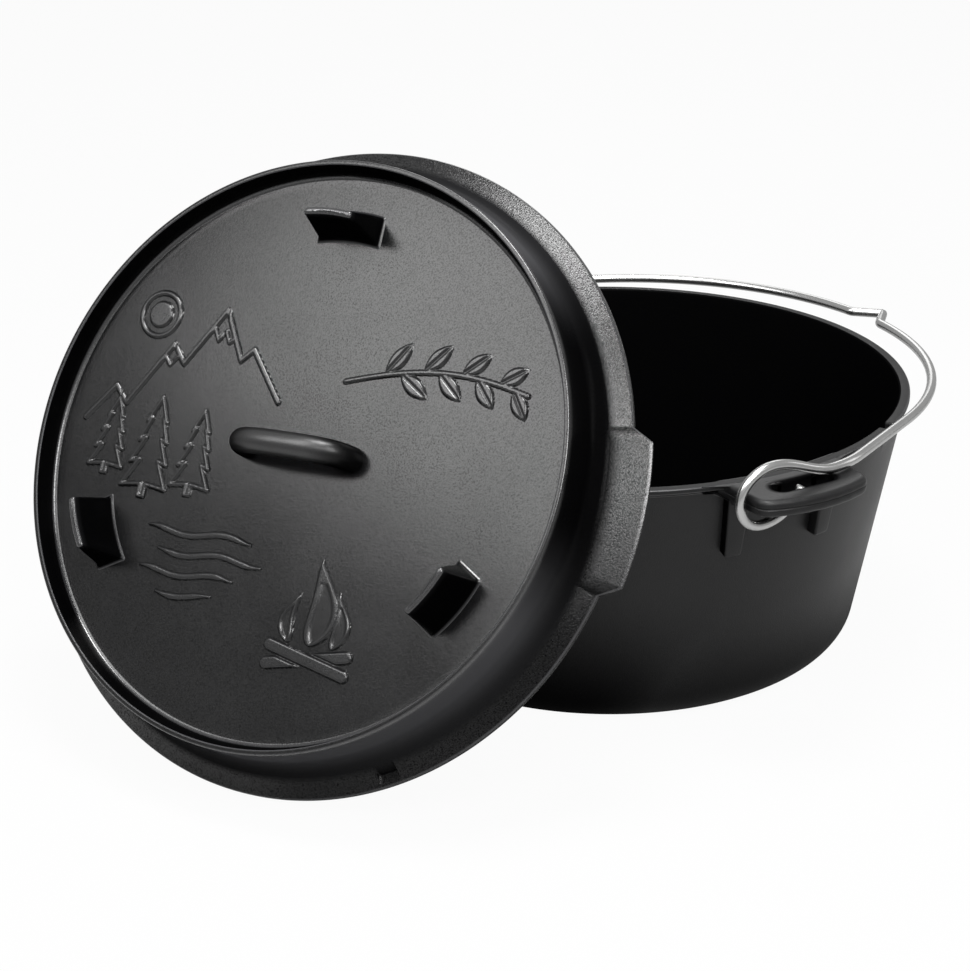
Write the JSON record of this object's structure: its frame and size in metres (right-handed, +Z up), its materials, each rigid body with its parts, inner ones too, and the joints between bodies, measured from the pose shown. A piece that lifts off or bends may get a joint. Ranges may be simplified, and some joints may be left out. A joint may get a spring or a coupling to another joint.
{
  "type": "camp dutch oven",
  "caption": "Flat-bottomed cast-iron camp dutch oven with loop ears, a swinging wire bail, and a flanged lid with coal rim, feet and loop handle standing against the pot.",
  "frame": {"origin": "middle of the pot's flat bottom, on the ground", "axes": "+Z up along the pot's axis; +Y through the ears, along the bail's hinge line; +X towards the side the bail lies on; the lid stands on the -X side"},
  "size_m": [0.4949, 0.375, 0.2764],
  "materials": {
    "pot_iron": "satin black seasoned casting",
    "lid_iron": "fine-grained seasoned casting",
    "bail_wire": "bright drawn stainless wire"
  },
  "bodies": {
    "pot_body": {"pot": "pot_iron"},
    "lid_body": {"lid": "lid_iron"},
    "bail_body": {"bail": "bail_wire"}
  },
  "joints": [
    {"name": "bail_swing", "type": "hinge", "parent": "pot_body", "child": "bail_body", "pos_m": [-0.02425, 0, 0.13325], "axis": [0, -1, 0], "range_deg": [0, 100]},
    {"name": "lid_lift", "type": "slide", "parent": "pot_body", "child": "lid_body", "axis": [0, 0, 1], "range_m": [0, 0.35]}
  ]
}
